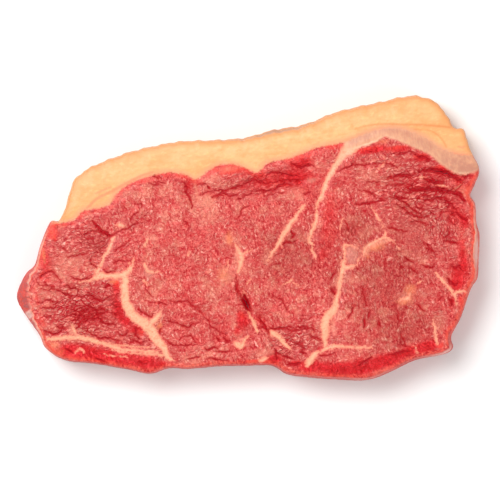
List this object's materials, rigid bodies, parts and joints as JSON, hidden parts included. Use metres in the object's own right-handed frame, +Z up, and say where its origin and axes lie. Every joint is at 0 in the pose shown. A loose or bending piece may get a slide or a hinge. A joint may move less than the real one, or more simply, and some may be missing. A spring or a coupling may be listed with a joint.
{
  "type": "raw sirloin steak",
  "caption": "Raw sirloin steak lying flat: a thick slice of marbled red lean with a creamy cap of fat along one long edge.",
  "frame": {"origin": "on the table under the middle of the slice's box", "axes": "+X along the slice, from the narrow tail to the blunt end; +Y across it, towards the fat cap; +Z up through the thickness"},
  "size_m": [0.175, 0.1, 0.02],
  "materials": {
    "lean": "raw marbled beef, moist, with cream veins of fat and fine grain",
    "fat": "firm creamy beef fat, waxy, faintly streaked"
  },
  "bodies": {
    "root": {"lean": "lean", "fat_cap": "fat"}
  },
  "joints": []
}
